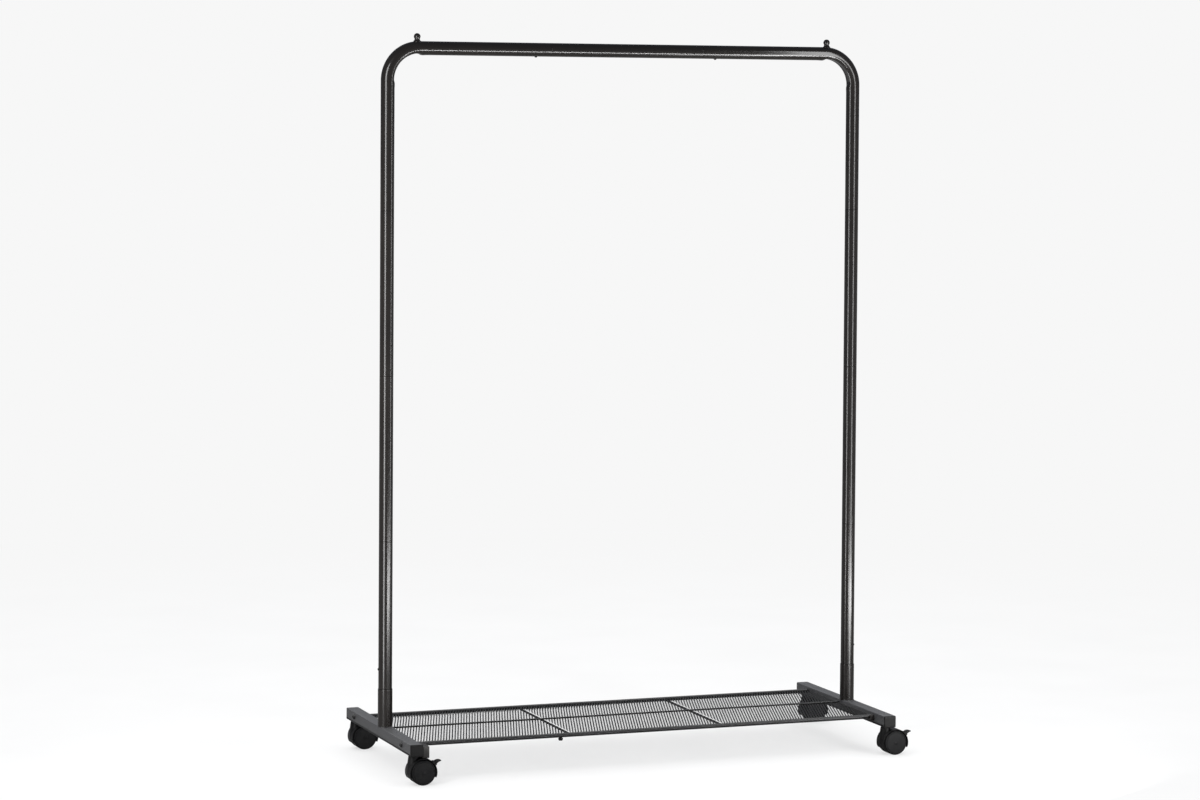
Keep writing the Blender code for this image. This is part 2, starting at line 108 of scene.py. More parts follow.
W_OUT = abs(lohi("caster_wheel_left_rear_outer")[1].y - CASTER_Y)
FENDER_IN = WHEEL_R + 0.0014
FENDER_OUT = FENDER_IN + 0.0022


# ------------------------------------------------------------------ materials
def _nodes(name):
    m = bpy.data.materials.new(name)
    m.use_nodes = True
    nt = m.node_tree
    bsdf = nt.nodes["Principled BSDF"]
    return m, nt, bsdf


def _noise(nt, vec, scale, detail=4, rough=0.55, dist=0.0):
    n = nt.nodes.new("ShaderNodeTexNoise")
    n.inputs["Scale"].default_value = scale
    n.inputs["Detail"].default_value = detail
    n.inputs["Roughness"].default_value = rough
    n.inputs["Distortion"].default_value = dist
    nt.links.new(vec, n.inputs["Vector"])
    return n


def _ramp(nt, fac, stops, interp='LINEAR'):
    r = nt.nodes.new("ShaderNodeValToRGB")
    r.color_ramp.interpolation = interp
    el = r.color_ramp.elements
    while len(el) < len(stops):
        el.new(0.5)
    for e, (p, c) in zip(el, stops):
        e.position = p
        e.color = (*c, 1.0) if len(c) == 3 else c
    nt.links.new(fac, r.inputs["Fac"])
    return r


def _maprange(nt, val, a, b, c, d):
    m = nt.nodes.new("ShaderNodeMapRange")
    m.inputs["From Min"].default_value = a
    m.inputs["From Max"].default_value = b
    m.inputs["To Min"].default_value = c
    m.inputs["To Max"].default_value = d
    nt.links.new(val, m.inputs["Value"])
    return m


def _bump(nt, height, strength, dist, normal=None):
    b = nt.nodes.new("ShaderNodeBump")
    b.inputs["Strength"].default_value = strength
    b.inputs["Distance"].default_value = dist
    nt.links.new(height, b.inputs["Height"])
    if normal is not None:
        nt.links.new(normal, b.inputs["Normal"])
    return b


def _mix(nt, fac, a, b):
    """Blend two colour outputs by a factor output."""
    m = nt.nodes.new("ShaderNodeMix")
    m.data_type = 'RGBA'
    nt.links.new(fac, m.inputs[0])
    nt.links.new(a, m.inputs[6])
    nt.links.new(b, m.inputs[7])
    return m


def enamel(name, dark, light, rough=(0.20, 0.30), peel=0.00010, dust=0.35, spec=0.5):
    """Stoved gloss enamel on steel: warm black, slight orange peel, faint handling haze and dust."""
    m, nt, bsdf = _nodes(name)
    tc = nt.nodes.new("ShaderNodeTexCoord")
    v = tc.outputs["Object"]
    big = _noise(nt, v, 9.0, 3, 0.5)
    col = _ramp(nt, big.outputs["Fac"], [(0.30, dark), (0.72, light)])
    speck = _noise(nt, v, 900.0, 3, 0.6)
    dustmask = _ramp(nt, speck.outputs["Fac"], [(0.74, (0, 0, 0)), (0.82, (dust, dust, dust))])
    dustcol = nt.nodes.new("ShaderNodeRGB")
    dustcol.outputs[0].default_value = (0.16, 0.15, 0.14, 1)
    mixed = _mix(nt, dustmask.outputs["Color"], col.outputs["Color"], dustcol.outputs[0])
    nt.links.new(mixed.outputs[2], bsdf.inputs["Base Color"])
    haze = _noise(nt, v, 26.0, 2, 0.45)
    rr = _maprange(nt, haze.outputs["Fac"], 0.3, 0.7, rough[0], rough[1])
    nt.links.new(rr.outputs["Result"], bsdf.inputs["Roughness"])
    if peel:
        orange = _noise(nt, v, 420.0, 2, 0.5)
        bump = _bump(nt, orange.outputs["Fac"], 0.35, peel)
        nt.links.new(bump.outputs["Normal"], bsdf.inputs["Normal"])
    bsdf.inputs["IOR"].default_value = 1.5
    bsdf.inputs["Specular IOR Level"].default_value = spec
    return m


def powder(name, dark, light, rough=(0.42, 0.58), grain=900.0, depth=0.00006):
    """Fine-textured powder coat."""
    m, nt, bsdf = _nodes(name)
    tc = nt.nodes.new("ShaderNodeTexCoord")
    v = tc.outputs["Object"]
    mott = _noise(nt, v, grain * 0.55, 4, 0.65)
    col = _ramp(nt, mott.outputs["Fac"], [(0.40, dark), (0.60, light)])
    last = col.outputs["Color"]
    nt.links.new(last, bsdf.inputs["Base Color"])
    rr = _maprange(nt, mott.outputs["Fac"], 0.3, 0.7, rough[0], rough[1])
    nt.links.new(rr.outputs["Result"], bsdf.inputs["Roughness"])
    g1 = _noise(nt, v, grain, 3, 0.6)
    vor = nt.nodes.new("ShaderNodeTexVoronoi")
    vor.inputs["Scale"].default_value = grain * 0.9
    nt.links.new(v, vor.inputs["Vector"])
    b1 = _bump(nt, g1.outputs["Fac"], 0.5, depth)
    b2 = _bump(nt, vor.outputs["Distance"], 0.3, depth * 0.6, b1.outputs["Normal"])
    nt.links.new(b2.outputs["Normal"], bsdf.inputs["Normal"])
    return m


def plastic(name, dark, light, rough=(0.42, 0.60), grain=1500.0, depth=0.00004, scuff=0.0, spec=0.19):
    """Moulded nylon: spark-eroded grain, slight flow mottling, scuffs where it rubs."""
    m, nt, bsdf = _nodes(name)
    tc = nt.nodes.new("ShaderNodeTexCoord")
    v = tc.outputs["Object"]
    flow = _noise(nt, v, 60.0, 4, 0.55, 0.6)
    col = _ramp(nt, flow.outputs["Fac"], [(0.32, dark), (0.70, light)])
    last = col.outputs["Color"]
    if scuff:
        sc = _noise(nt, v, 260.0, 6, 0.75, 1.2)
        msk = _ramp(nt, sc.outputs["Fac"], [(0.60, (0, 0, 0)), (0.70, (scuff, scuff, scuff))])
        ec = nt.nodes.new("ShaderNodeRGB")
        ec.outputs[0].default_value = (0.045, 0.045, 0.045, 1)
        mx = _mix(nt, msk.outputs["Color"], last, ec.outputs[0])
        last = mx.outputs[2]
    nt.links.new(last, bsdf.inputs["Base Color"])
    hz = _noise(nt, v, 140.0, 4, 0.6)
    rr = _maprange(nt, hz.outputs["Fac"], 0.3, 0.7, rough[0], rough[1])
    nt.links.new(rr.outputs["Result"], bsdf.inputs["Roughness"])
    g1 = _noise(nt, v, grain, 2, 0.5)
    b1 = _bump(nt, g1.outputs["Fac"], 0.35, depth)
    nt.links.new(b1.outputs["Normal"], bsdf.inputs["Normal"])
    bsdf.inputs["IOR"].default_value = 1.46
    bsdf.inputs["Specular IOR Level"].default_value = spec
    return m


def zinc(name, tint=(0.50, 0.50, 0.52), dark=(0.30, 0.30, 0.31), rough=(0.24, 0.42)):
    """Zinc-plated steel with fine turning marks and a patchy passivate."""
    m, nt, bsdf = _nodes(name)
    tc = nt.nodes.new("ShaderNodeTexCoord")
    v = tc.outputs["Object"]
    patch = _noise(nt, v, 220.0, 4, 0.6)
    col = _ramp(nt, patch.outputs["Fac"], [(0.30, dark), (0.65, tint)])
    nt.links.new(col.outputs["Color"], bsdf.inputs["Base Color"])
    rr = _maprange(nt, patch.outputs["Fac"], 0.3, 0.7, rough[0], rough[1])
    nt.links.new(rr.outputs["Result"], bsdf.inputs["Roughness"])
    g = _noise(nt, v, 2200.0, 3, 0.6)
    b = _bump(nt, g.outputs["Fac"], 0.25, 0.00003)
    nt.links.new(b.outputs["Normal"], bsdf.inputs["Normal"])
    bsdf.inputs["Metallic"].default_value = 1.0
    return m


M_TUBE = enamel("gloss_black_enamel", (0.0066, 0.0055, 0.0049), (0.0098, 0.0083, 0.0074), rough=(0.155, 0.185), peel=0.0, dust=0.06)
M_FOOT = powder("foot_powder_coat", (0.025, 0.025, 0.026), (0.100, 0.100, 0.102), rough=(0.38, 0.52))
M_SHELF = enamel("shelf_enamel", (0.0080, 0.0080, 0.0082), (0.0140, 0.0138, 0.0140), rough=(0.32, 0.38), peel=0.0, spec=0.4)
M_LUG = enamel("lug_enamel", (0.0120, 0.0105, 0.0092), (0.0200, 0.0172, 0.0150), rough=(0.34, 0.42), peel=0.0, spec=0.4)
M_MESH = enamel("mesh_enamel", (0.0050, 0.0050, 0.0052), (0.0090, 0.0090, 0.0092), rough=(0.42, 0.50), peel=0.0, spec=0.14)
# near-black paint for the strip under each foot: painted shade, standing in for the shade along the foot's lower edge
M_SHADE_STRIP = enamel("strip_painted_shade", (0.0045, 0.0045, 0.0047), (0.0080, 0.0080, 0.0083), rough=(0.40, 0.50), peel=0.0, spec=0.25)
M_CAP = plastic("cap_polythene", (0.0075, 0.0072, 0.0070), (0.0125, 0.0118, 0.0114), rough=(0.40, 0.50))
M_CASTER = plastic("caster_nylon", (0.0062, 0.0060, 0.0060), (0.0105, 0.0101, 0.0100), rough=(0.38, 0.50))
M_WHEEL = plastic("wheel_nylon", (0.0052, 0.0052, 0.0056), (0.0090, 0.0089, 0.0092), rough=(0.42, 0.54), scuff=0.15)
M_BOLT = enamel("black_oxide_bolt", (0.0060, 0.0058, 0.0056), (0.0090, 0.0088, 0.0086), rough=(0.22, 0.28), peel=0.00002, spec=0.45)
M_ZINC = zinc("zinc_steel")
M_BUTTON = zinc("oiled_steel", (0.034, 0.032, 0.030), (0.018, 0.017, 0.016), (0.26, 0.38))


# ------------------------------------------------------------------ mesh helpers
def link(ob, mat, body, slot, *replaced):
    if ob.name not in coll.objects:
        coll.objects.link(ob)
    ob.data.materials.clear()
    ob.data.materials.append(mat)
    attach(ob, body)
    if replaced:
        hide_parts(*replaced)
    return ob


def mesh_ob(name, verts, faces, smooth=True):
    me = bpy.data.meshes.new(name)
    me.from_pydata([tuple(v) for v in verts], [], faces)
    me.validate()
    ob = bpy.data.objects.new(name, me)
    coll.objects.link(ob)
    if smooth:
        for p in me.polygons:
            p.use_smooth = True
    return ob


def sharpen(ob, deg=38):
    me = ob.data
    bm = bmesh.new()
    bm.from_mesh(me)
    lim = math.radians(deg)
    for f in bm.faces:
        f.smooth = True
    for e in bm.edges:
        if len(e.link_faces) == 2:
            e.smooth = e.calc_face_angle(0.0) < lim
    bm.to_mesh(me)
    bm.free()


def fillet_profile(pts, n=4):
    """Round the marked corners of a profile.  pts: (r, z, fillet radius)."""
    out = []
    N = len(pts)
    for i, p in enumerate(pts):
        r, z = p[0], p[1]
        f = p[2] if len(p) > 2 else 0.0
        if f <= 0:
            out.append((r, z))
            continue
        a = Vector(pts[(i - 1) % N][:2]) - Vector((r, z))
        b = Vector(pts[(i + 1) % N][:2]) - Vector((r, z))
        la, lb = a.length, b.length
        a.normalize()
        b.normalize()
        half = a.angle(b) / 2
        d = min(f / math.tan(half), la * 0.49, lb * 0.49)
        p0 = Vector((r, z)) + a * d
        p1 = Vector((r, z)) + b * d
        c = Vector((r, z))
        for k in range(n + 1):
            t = k / n
            q = (1 - t) ** 2 * p0 + 2 * t * (1 - t) * c + t ** 2 * p1
            out.append((q.x, q.y))
    return out


def braced(prof, ring):
    """Extra rings just inside the ends of long walls, so their shading stays straight up to the rims."""
    out = []
    for i, p in enumerate(prof):
        out.append(p)
        if i == len(prof) - 1 and not ring:
            break
        q = prof[(i + 1) % len(prof)]
        d = math.dist(p, q)
        if d > 0.03:
            t = 0.0005 / d
            out.append((p[0] + (q[0] - p[0]) * t, p[1] + (q[1] - p[1]) * t))
            out.append((q[0] + (p[0] - q[0]) * t, q[1] + (p[1] - q[1]) * t))
    return out


def lathe(name, prof, seg=64, ring=False, at=(0, 0, 0), rot=None):
    """Turn a profile (r, z) running top to bottom on the outside."""
    prof = braced(prof, ring)
    verts, faces = [], []
    idx = []
    for r, z in prof:
        if abs(r) < 1e-9:
            idx.append([len(verts)] * seg)
            verts.append((0, 0, z))
        else:
            row = []
            for k in range(seg):
                a = 2 * math.pi * k / seg
                row.append(len(verts))
                verts.append((r * math.cos(a), r * math.sin(a), z))
            idx.append(row)
    n = len(prof)
    for i in range(n if ring else n - 1):
        A, B = idx[i], idx[(i + 1) % n]
        for k in range(seg):
            k2 = (k + 1) % seg
            q = [A[k], B[k], B[k2], A[k2]]
            u = []
            for v in q:
                if v not in u:
                    u.append(v)
            if len(u) > 2:
                faces.append(tuple(u))
    M = Matrix.Translation(Vector(at)) @ (rot.to_4x4() if rot else Matrix.Identity(4))
    verts = [M @ Vector(v) for v in verts]
    ob = mesh_ob(name, verts, faces)
    sharpen(ob)
    return ob


RX = Matrix.Rotation(math.pi / 2, 3, 'Y')      # local Z to world X
RNX = Matrix.Rotation(-math.pi / 2, 3, 'Y')    # local Z to world -X
RY = Matrix.Rotation(-math.pi / 2, 3, 'X')     # local Z to world +Y
RNY = Matrix.Rotation(math.pi / 2, 3, 'X')     # local Z to world -Y
RDOWN = Matrix.Rotation(math.pi, 3, 'X')


def cutter(ob):
    ob.hide_render = True
    return ob


def boolean(ob, tool, op='DIFFERENCE'):
    m = ob.modifiers.new("b", 'BOOLEAN')
    m.operation = op
    m.solver = 'EXACT'
    m.object = tool
    bpy.context.view_layer.update()
    dg = bpy.context.evaluated_depsgraph_get()
    me = bpy.data.meshes.new_from_object(ob.evaluated_get(dg))
    ob.modifiers.clear()
    old = ob.data
    ob.data = me
    bpy.data.meshes.remove(old)
    td = tool.data
    bpy.data.objects.remove(tool, do_unlink=True)
    bpy.data.meshes.remove(td)
    return ob


def apply_mods(ob):
    bpy.context.view_layer.update()
    dg = bpy.context.evaluated_depsgraph_get()
    me = bpy.data.meshes.new_from_object(ob.evaluated_get(dg))
    ob.modifiers.clear()
    old = ob.data
    ob.data = me
    bpy.data.meshes.remove(old)
    return ob


def rounded_loop(w, h, r, n=6):
    """Rounded rectangle outline centred on 0, counter-clockwise."""
    pts = []
    for cx, cy, a0 in ((w / 2 - r, h / 2 - r, 0), (-w / 2 + r, h / 2 - r, 90), (-w / 2 + r, -h / 2 + r, 180), (w / 2 - r, -h / 2 + r, 270)):
        for k in range(n + 1):
            a = math.radians(a0 + 90 * k / n)
            pts.append((cx + r * math.cos(a), cy + r * math.sin(a)))
    return pts


def pipe(name, stations, outer, inner=None):
    """Sweep closed outlines (lists of points) into a solid or tubular body.
    stations: list of functions mapping an outline point to space."""
    verts, faces = [], []
    n = len(outer)

    def band(loop, flip):
        base = len(verts)
        for st in stations:
            for p in loop:
                verts.append(st(p))
        for i in range(len(stations) - 1):
            for k in range(n):
                k2 = (k + 1) % n
                a, b, c, d = base + i * n + k, base + i * n + k2, base + (i + 1) * n + k2, base + (i + 1) * n + k
                faces.append((a, b, c, d) if not flip else (d, c, b, a))
        return base
    o = band(outer, False)
    last = (len(stations) - 1) * n
    if inner is None:
        faces.append(tuple(o + k for k in range(n))[::-1])
        faces.append(tuple(o + last + k for k in range(n)))
    else:
        q = band(inner, True)
        for k in range(n):
            k2 = (k + 1) % n
            faces.append((o + k2, o + k, q + k, q + k2))
            faces.append((o + last + k, o + last + k2, q + last + k2, q + last + k))
    ob = mesh_ob(name, verts, faces)
    return ob


# ------------------------------------------------------------------ feet
def hole(r, at, rot, length=0.03, seg=48):
    return cutter(lathe("tool", [(0, length / 2), (r, length / 2), (r, -length / 2), (0, -length / 2)], seg, at=at, rot=rot))


STRIP = 0.0046                              # height of the strip along the underside, painted near-black as painted shade along the foot's lower edge


def recalc(ob):
    bm = bmesh.new()
    bm.from_mesh(ob.data)
    bmesh.ops.recalc_face_normals(bm, faces=bm.faces)
    bm.to_mesh(ob.data)
    bm.free()


for side, x, out in (("left", XL, -1), ("right", XR, 1)):
    lo, hi = lohi(f"foot_{side}")
    zb, zt = lo.z + STRIP, hi.z
    zc = (zb + zt) / 2
    ys = [lo.y, lo.y + 0.0004, hi.y - 0.0004, hi.y]
    shr = [0.9985, 1.0, 1.0, 0.9985]
    o_loop = rounded_loop(FOOT_W, zt - zb, 0.0019, 8)
    i_loop = rounded_loop(FOOT_W - 0.003, zt - zb - 0.003, 0.0008, 8)
    st = [(lambda p, y=y, s=s: (x - p[0] * s, y, zc + p[1] * s)) for y, s in zip(ys, shr)]
    foot = pipe(f"foot_tube_{side}", st, o_loop, i_loop)
    recalc(foot)
    boolean(foot, hole(0.0112, (x, PY, FOOT_TOP), None, 0.012))
    for y in (-CASTER_Y, CASTER_Y):
        boolean(foot, hole(0.0044, (x, y, zb), None, 0.008))
    for y in (-SHELF_Y, SHELF_Y):
        for sx in (-1, 1):
            boolean(foot, hole(0.0027, (x + sx * FOOT_W / 2, y, SHELF_Z), RX, 0.008))
    sharpen(foot, 30)
    link(foot, M_FOOT, "frame", "foot_paint", f"foot_{side}")

    # underside strip, its near-black paint a painted shade along the foot's lower edge: set in a little from the tube
    # above it, long lower edges rolled
    zs = lo.z + STRIP / 2
    loop = []
    w2, h2, rr = FOOT_W / 2 - 0.0005, STRIP / 2 - 0.00002, 0.0030
    for cx, a0, a1 in ((w2 - rr, -90, 0), (-(w2 - rr), 180, 270)):
        if cx > 0:
            loop += [(cx + rr * math.cos(math.radians(t)), -h2 + rr + rr * math.sin(math.radians(t))) for t in np.linspace(a0, a1, 8)]
            loop += [(w2, h2), (-w2, h2)]
        else:
            loop += [(cx + rr * math.cos(math.radians(t)), -h2 + rr + rr * math.sin(math.radians(t))) for t in np.linspace(a0, a1, 8)]
    strip = pipe(f"foot_strip_{side}", [(lambda p, y=y: (x - p[0], y, zs + p[1])) for y in (lo.y + 0.0002, hi.y - 0.0002)], loop)
    recalc(strip)
    for y in (-CASTER_Y, CASTER_Y):
        boolean(strip, hole(0.0044, (x, y, lo.z), None, 0.012))
    sharpen(strip, 30)
    link(strip, M_SHADE_STRIP, "frame", "foot_paint")

    # end caps: crowned face, thin rim, plug
    for end, s in (("front", -1), ("rear", 1)):
        y_face, y_in = s * CAP_Y, s * (CAP_Y - 0.003)
        cz = (lo.z + hi.z) / 2
        loop = rounded_loop(FOOT_W - 0.0002, FOOT_H - 0.0002, 0.0024, 8)
        prof = [(y_in, 1.0), (y_in + s * 0.0012, 1.0), (y_in + s * 0.0021, 0.985), (y_in + s * 0.0026, 0.955), (y_in + s * 0.0029, 0.90), (y_face, 0.80)]
        stt = [(lambda p, y=y, k=k: (x - p[0] * k * (1 if s > 0 else -1), y, cz + p[1] * k)) for y, k in prof]
        cap = pipe(f"foot_cap_{side}_{end}", stt, loop)
        sharpen(cap, 50)
        link(cap, M_CAP, "frame", "cap_plastic", f"end_cap_{side}_{end}")

# ------------------------------------------------------------------ post tubes


def tube(name, z0, z1, at, spigot=0.045, rot=None, R=None):
    """Drawn tube with a deburred lower rim and a rolled shoulder into its male end."""
    R = R or TUBE_R
    ri, so, si = R - 0.0012, SP, SI
    prof = fillet_profile([
        (R, z1, 0.0009), (R, z0, 0.00035), (ri, z0, 0.0003), (ri, z1 - 0.003), (si, z1 + 0.001), (si, z1 + spigot, 0.0003),
        (so, z1 + spigot, 0.0005), (so, z1 + 0.0004, 0.0003)], 4)
    return lathe(name, prof, 64, ring=True, at=at, rot=rot)


for side, x, out in (("left", XL, -1), ("right", XR, 1)):
    # socket on the foot
    R = SOCKET_R
    zt = Z1 - 0.0003
    zb = FOOT_TOP + 0.0002
    prof = fillet_profile([
        (R, zt, 0.0010), (R, zb, 0.0003), (0.0108, zb), (0.0108, FOOT_TOP - 0.009), (0.0092, FOOT_TOP - 0.009), (0.0092, zb + 0.0012),
        (SI, zb + 0.004), (SI, zt + 0.060, 0.0002), (SP, zt + 0.060, 0.0004), (SP, zt + 0.0003, 0.0002)], 4)
    sock = lathe(f"socket_{side}", prof, 64, ring=True, at=(x, PY, 0))
    link(sock, M_TUBE, "frame", "tube_paint", f"post_socket_{side}")
    # weld where the socket meets the foot's top face: a rippled bead ahead of and behind the post
    for part, a0 in (("front", 214.0), ("rear", 34.0)):
        seg, mseg = 84, 12
        vv, ff = [], []
        for k in range(seg + 1):
            t = k / seg
            a = math.radians(a0 + 112 * t)
            end = min(1.0, math.sin(math.pi * t) * 4.5 + 0.12)
            rip = 0.00026 * (1 - abs(math.sin(a * 19))) + 0.00014 * math.sin(a * 5 + 0.7)
            for j in range(mseg):
                q = 2 * math.pi * j / mseg
                rr = (0.0016 + rip) * end
                r = R + 0.0002 + rr * math.cos(q)
                vv.append((x + r * math.cos(a), PY + r * math.sin(a), FOOT_TOP + 0.0002 + rr * math.sin(q)))
        for k in range(seg):
            for j in range(mseg):
                j2 = (j + 1) % mseg
                ff.append((k * mseg + j, (k + 1) * mseg + j, (k + 1) * mseg + j2, k * mseg + j2))
        ff.append(tuple(range(mseg))[::-1])
        ff.append(tuple(seg * mseg + j for j in range(mseg)))
        bead = mesh_ob(f"weld_{side}_{part}", vv, ff)
        recalc(bead)
        link(bead, M_TUBE, "frame", "tube_paint")

    lower = tube(f"post_tube_{side}_lower", Z1, Z2 - 0.0003, (x, PY, 0))
    bz = mid(f"snap_button_post_{side}").z
    boolean(lower, hole(0.0034, (x + out * TUBE_R, PY, bz), RX, 0.010, 32))
    sharpen(lower, 38)
    link(lower, M_TUBE, "frame", "tube_paint", f"post_{side}_lower")
    link(tube(f"post_tube_{side}_middle", Z2, Z3 - 0.0003, (x, PY, 0)), M_TUBE, "frame", "tube_paint", f"post_{side}_middle")
    link(tube(f"post_tube_{side}_upper", Z3, Z4 - 0.0003, (x, PY, 0)), M_TUBE, "frame", "tube_paint", f"post_{side}_upper")

# ------------------------------------------------------------------ bent corner tubes and rail


def bent(name, sgn):
    """Press-bent tube: the inside of the bend is flattened by the former and steps in where the former's ends bit."""
    R, ri = TUBE_R, TUBE_R - 0.0012
    xc = XR - X0
    zc = RAIL_Z - BEND_R
    rows = [((xc, Z4), 0.0, R - 0.0003, 0, 0), ((xc, Z4 + 0.0003), 0.0, R - 0.00008, 0, 0), ((xc, Z4 + 0.0008), 0.0, R, 0, 0), ((xc, Z4 + 0.1), 0.0, R, 0, 0)]
    pre = ((0.020, 0, 0), (0.014, 0, 0.35), (0.0095, 0, 0.95), (0.0060, 0.04, 1.0), (0.0030, 0.22, 0.6), (0.0008, 0.45, 0.2))
    rows += [((xc, zc - d), 0.0, R, g, b) for d, g, b in pre]
    n = 44
    for i in range(n + 1):
        a = math.pi / 2 * i / n
        e = min(a, math.pi / 2 - a) / math.radians(7)
        g = min(1.0, 0.55 + 0.45 * e)
        k = math.sin(2 * a) ** 1.5
        rows.append(((xc - BEND_R + BEND_R * math.cos(a), zc + BEND_R * math.sin(a)), a, R * (1 - 0.012 * k), g, 0))
    rows += [((xc - BEND_R - d, RAIL_Z), math.pi / 2, R, g, b) for d, g, b in pre[::-1]]
    rows += [((RJ + 0.0008, RAIL_Z), math.pi / 2, R, 0, 0), ((RJ + 0.0003, RAIL_Z), math.pi / 2, R - 0.00008, 0, 0), ((RJ, RAIL_Z), math.pi / 2, R - 0.0003, 0, 0)]
    seg = 72
    circ = [(math.cos(2 * math.pi * k / seg), math.sin(2 * math.pi * k / seg)) for k in range(seg)]

    def station(pt, a, rad, g, b, rr):
        def f(p):
            c, w = p
            if c < 0:
                v = -c
                if v > 0.76:
                    v -= g * ((v - 0.76) * 0.98 + 0.035 * ((v - 0.76) / 0.24) ** 2)
                if b and v > 0.45:
                    v *= 1 + 0.035 * b * (v - 0.45) / 0.55
                c = -v
                w *= 1 + 0.018 * g * max(0.0, 1 - abs(c + 0.45) * 2)
            d = c * rad * rr
            return (X0 + sgn * (pt[0] + d * math.cos(a)), PY + w * TUBE_R * rr, pt[1] + d * math.sin(a))
        return f
    k_in = ri / TUBE_R
    verts, faces = [], []
    m = len(rows)
    for rr in (1.0, k_in):
        for pt, a, rad, g, b in rows:
            st = station(pt, a, rad, g, b, rr)
            verts += [st(c) for c in circ]
    B = m * seg
    for i in range(m - 1):
        for k in range(seg):
            k2 = (k + 1) % seg
            q = (i * seg + k, i * seg + k2, (i + 1) * seg + k2, (i + 1) * seg + k)
            w = (B + i * seg + k, B + (i + 1) * seg + k, B + (i + 1) * seg + k2, B + i * seg + k2)
            faces.append(q if sgn > 0 else q[::-1])
            faces.append(w if sgn > 0 else w[::-1])
    L = (m - 1) * seg
    for k in range(seg):
        k2 = (k + 1) % seg
        q = (k, B + k, B + k2, k2)
        w = (L + k, L + k2, B + L + k2, B + L + k)
        faces.append(q if sgn > 0 else q[::-1])
        faces.append(w if sgn > 0 else w[::-1])
    ob = mesh_ob(name, verts, faces)
    recalc(ob)
    return ob


for side, sgn in (("left", -1), ("right", 1)):
    ob = bent(f"corner_{side}", sgn)
    bx = mid(f"snap_button_rail_{side}").x
    boolean(ob, hole(0.0034, (bx, PY, RAIL_Z - TUBE_R), None, 0.010, 32))
    sharpen(ob, 38)
    link(ob, M_TUBE, "frame", "tube_paint", f"corner_tube_{side}")

    # ball peg: turned steel, flared skirt that hugs the tube
    px = X0 + sgn * PEG_X
    top = lohi(f"ball_peg_{side}")[1].z
    br = 0.0073
    cz = top - br
    crown = RAIL_Z + TUBE_R
    prof = [(0, top)]
    for a in range(6, 127, 6):
        prof.append((br * math.sin(math.radians(a)), cz + br * math.cos(math.radians(a))))
    prof += fillet_profile([prof.pop() + (0.0,), (0.0056, crown + 0.0042, 0.0010), (0.0064, crown + 0.0020, 0.002), (0.0084, crown + 0.0003, 0.0004), (0.0082, crown - 0.0010), (0.0030, crown - 0.0012)], 4)
    prof += [(0, crown - 0.0012)]
    peg = lathe(f"peg_{side}", prof, 48, at=(0, 0, 0))
    # move into place and drape the skirt over the round tube
    for v in peg.data.vertices:
        if v.co.z < crown + 0.0024:
            drop = TUBE_R - math.sqrt(max(TUBE_R ** 2 - v.co.y ** 2, 0))
            t = min(max((crown + 0.0024 - v.co.z) / 0.0024, 0), 1)
            v.co.z -= drop * t
        v.co.x += px
        v.co.y += PY
    link(peg, M_TUBE, "frame", "tube_paint", f"ball_peg_{side}")

lo, hi = lohi("rail_centre")
prof = []
so, si, R, ri = SP, SI, TUBE_R, TUBE_R - 0.0012
L = RJ - 0.0003
E = (hi.x - lo.x) / 2
prof = fillet_profile([
    (R, L, 0.0009), (R, -L, 0.0009), (so, -L - 0.0003, 0.0003), (so, -E, 0.0005), (si, -E, 0.0003), (si, -L - 0.001), (ri, -L + 0.003),
    (ri, L - 0.003), (si, L + 0.001), (si, E, 0.0003), (so, E, 0.0005), (so, L + 0.0003, 0.0003)], 4)
rail = lathe("rail_middle", prof, 64, ring=True, at=(X0, PY, RAIL_Z), rot=RX)
link(rail, M_TUBE, "frame", "tube_paint", "rail_centre")

# snap buttons: pressed steel dome with a seat ring
for side, out in (("left", -1), ("right", 1)):
    x = XL if out < 0 else XR
    bz = mid(f"snap_button_post_{side}").z
    R = TUBE_R
    dome = [(0, R + 0.0022), (0.0009, R + 0.00215), (0.0016, R + 0.0019), (0.0022, R + 0.0016), (0.0027, R + 0.0011), (0.0030, R + 0.0006), (0.0032, R - 0.0002),
            (0.0032, 0.0102), (0.0044, 0.0100), (0.0044, 0.0088), (0, 0.0088)]
    b = lathe(f"button_post_{side}", dome, 40, at=(x, PY, bz), rot=RX if out > 0 else RNX)
    link(b, M_BUTTON, f"button_post_{side}", "button_steel", f"snap_button_post_{side}")
    bx = mid(f"snap_button_rail_{side}").x
    b = lathe(f"button_rail_{side}", dome, 40, at=(bx, PY, RAIL_Z), rot=RDOWN)
    link(b, M_BUTTON, f"button_rail_{side}", "button_steel", f"snap_button_rail_{side}")

# ------------------------------------------------------------------ shelf
for end, y in (("front", -SHELF_Y), ("rear", SHELF_Y)):
    prof = fillet_profile([(BAR_R, HALF_BAR, 0.0004), (BAR_R, -HALF_BAR, 0.0004), (0.00265, -HALF_BAR), (0.00265, HALF_BAR)], 3)
    link(lathe(f"bar_{end}", prof, 40, ring=True, at=(X0, y, SHELF_Z), rot=RX), M_SHELF, "frame", "shelf_paint", f"shelf_bar_{end}")

for side in ("left", "right"):
    lo, hi = lohi(f"shelf_cross_{side}")
    r = (hi.z - lo.z) / 2
    prof = fillet_profile([(0, (hi.y - lo.y) / 2), (r, (hi.y - lo.y) / 2, 0.0005), (r, -(hi.y - lo.y) / 2, 0.0005), (0, -(hi.y - lo.y) / 2)], 3)
    link(lathe(f"cross_rod_{side}", prof, 32, at=tuple((lo + hi) / 2), rot=RY), M_SHELF, "frame", "shelf_paint", f"shelf_cross_{side}")
lo, hi = lohi("shelf_centre_wire")
r = (hi.z - lo.z) / 2
prof = fillet_profile([(0, HALF_BAR), (r, HALF_BAR, 0.0004), (r, -HALF_BAR, 0.0004), (0, -HALF_BAR)], 3)
link(lathe("long_wire", prof, 32, at=tuple((lo + hi) / 2), rot=RX), M_SHELF, "frame", "shelf_paint", "shelf_centre_wire")


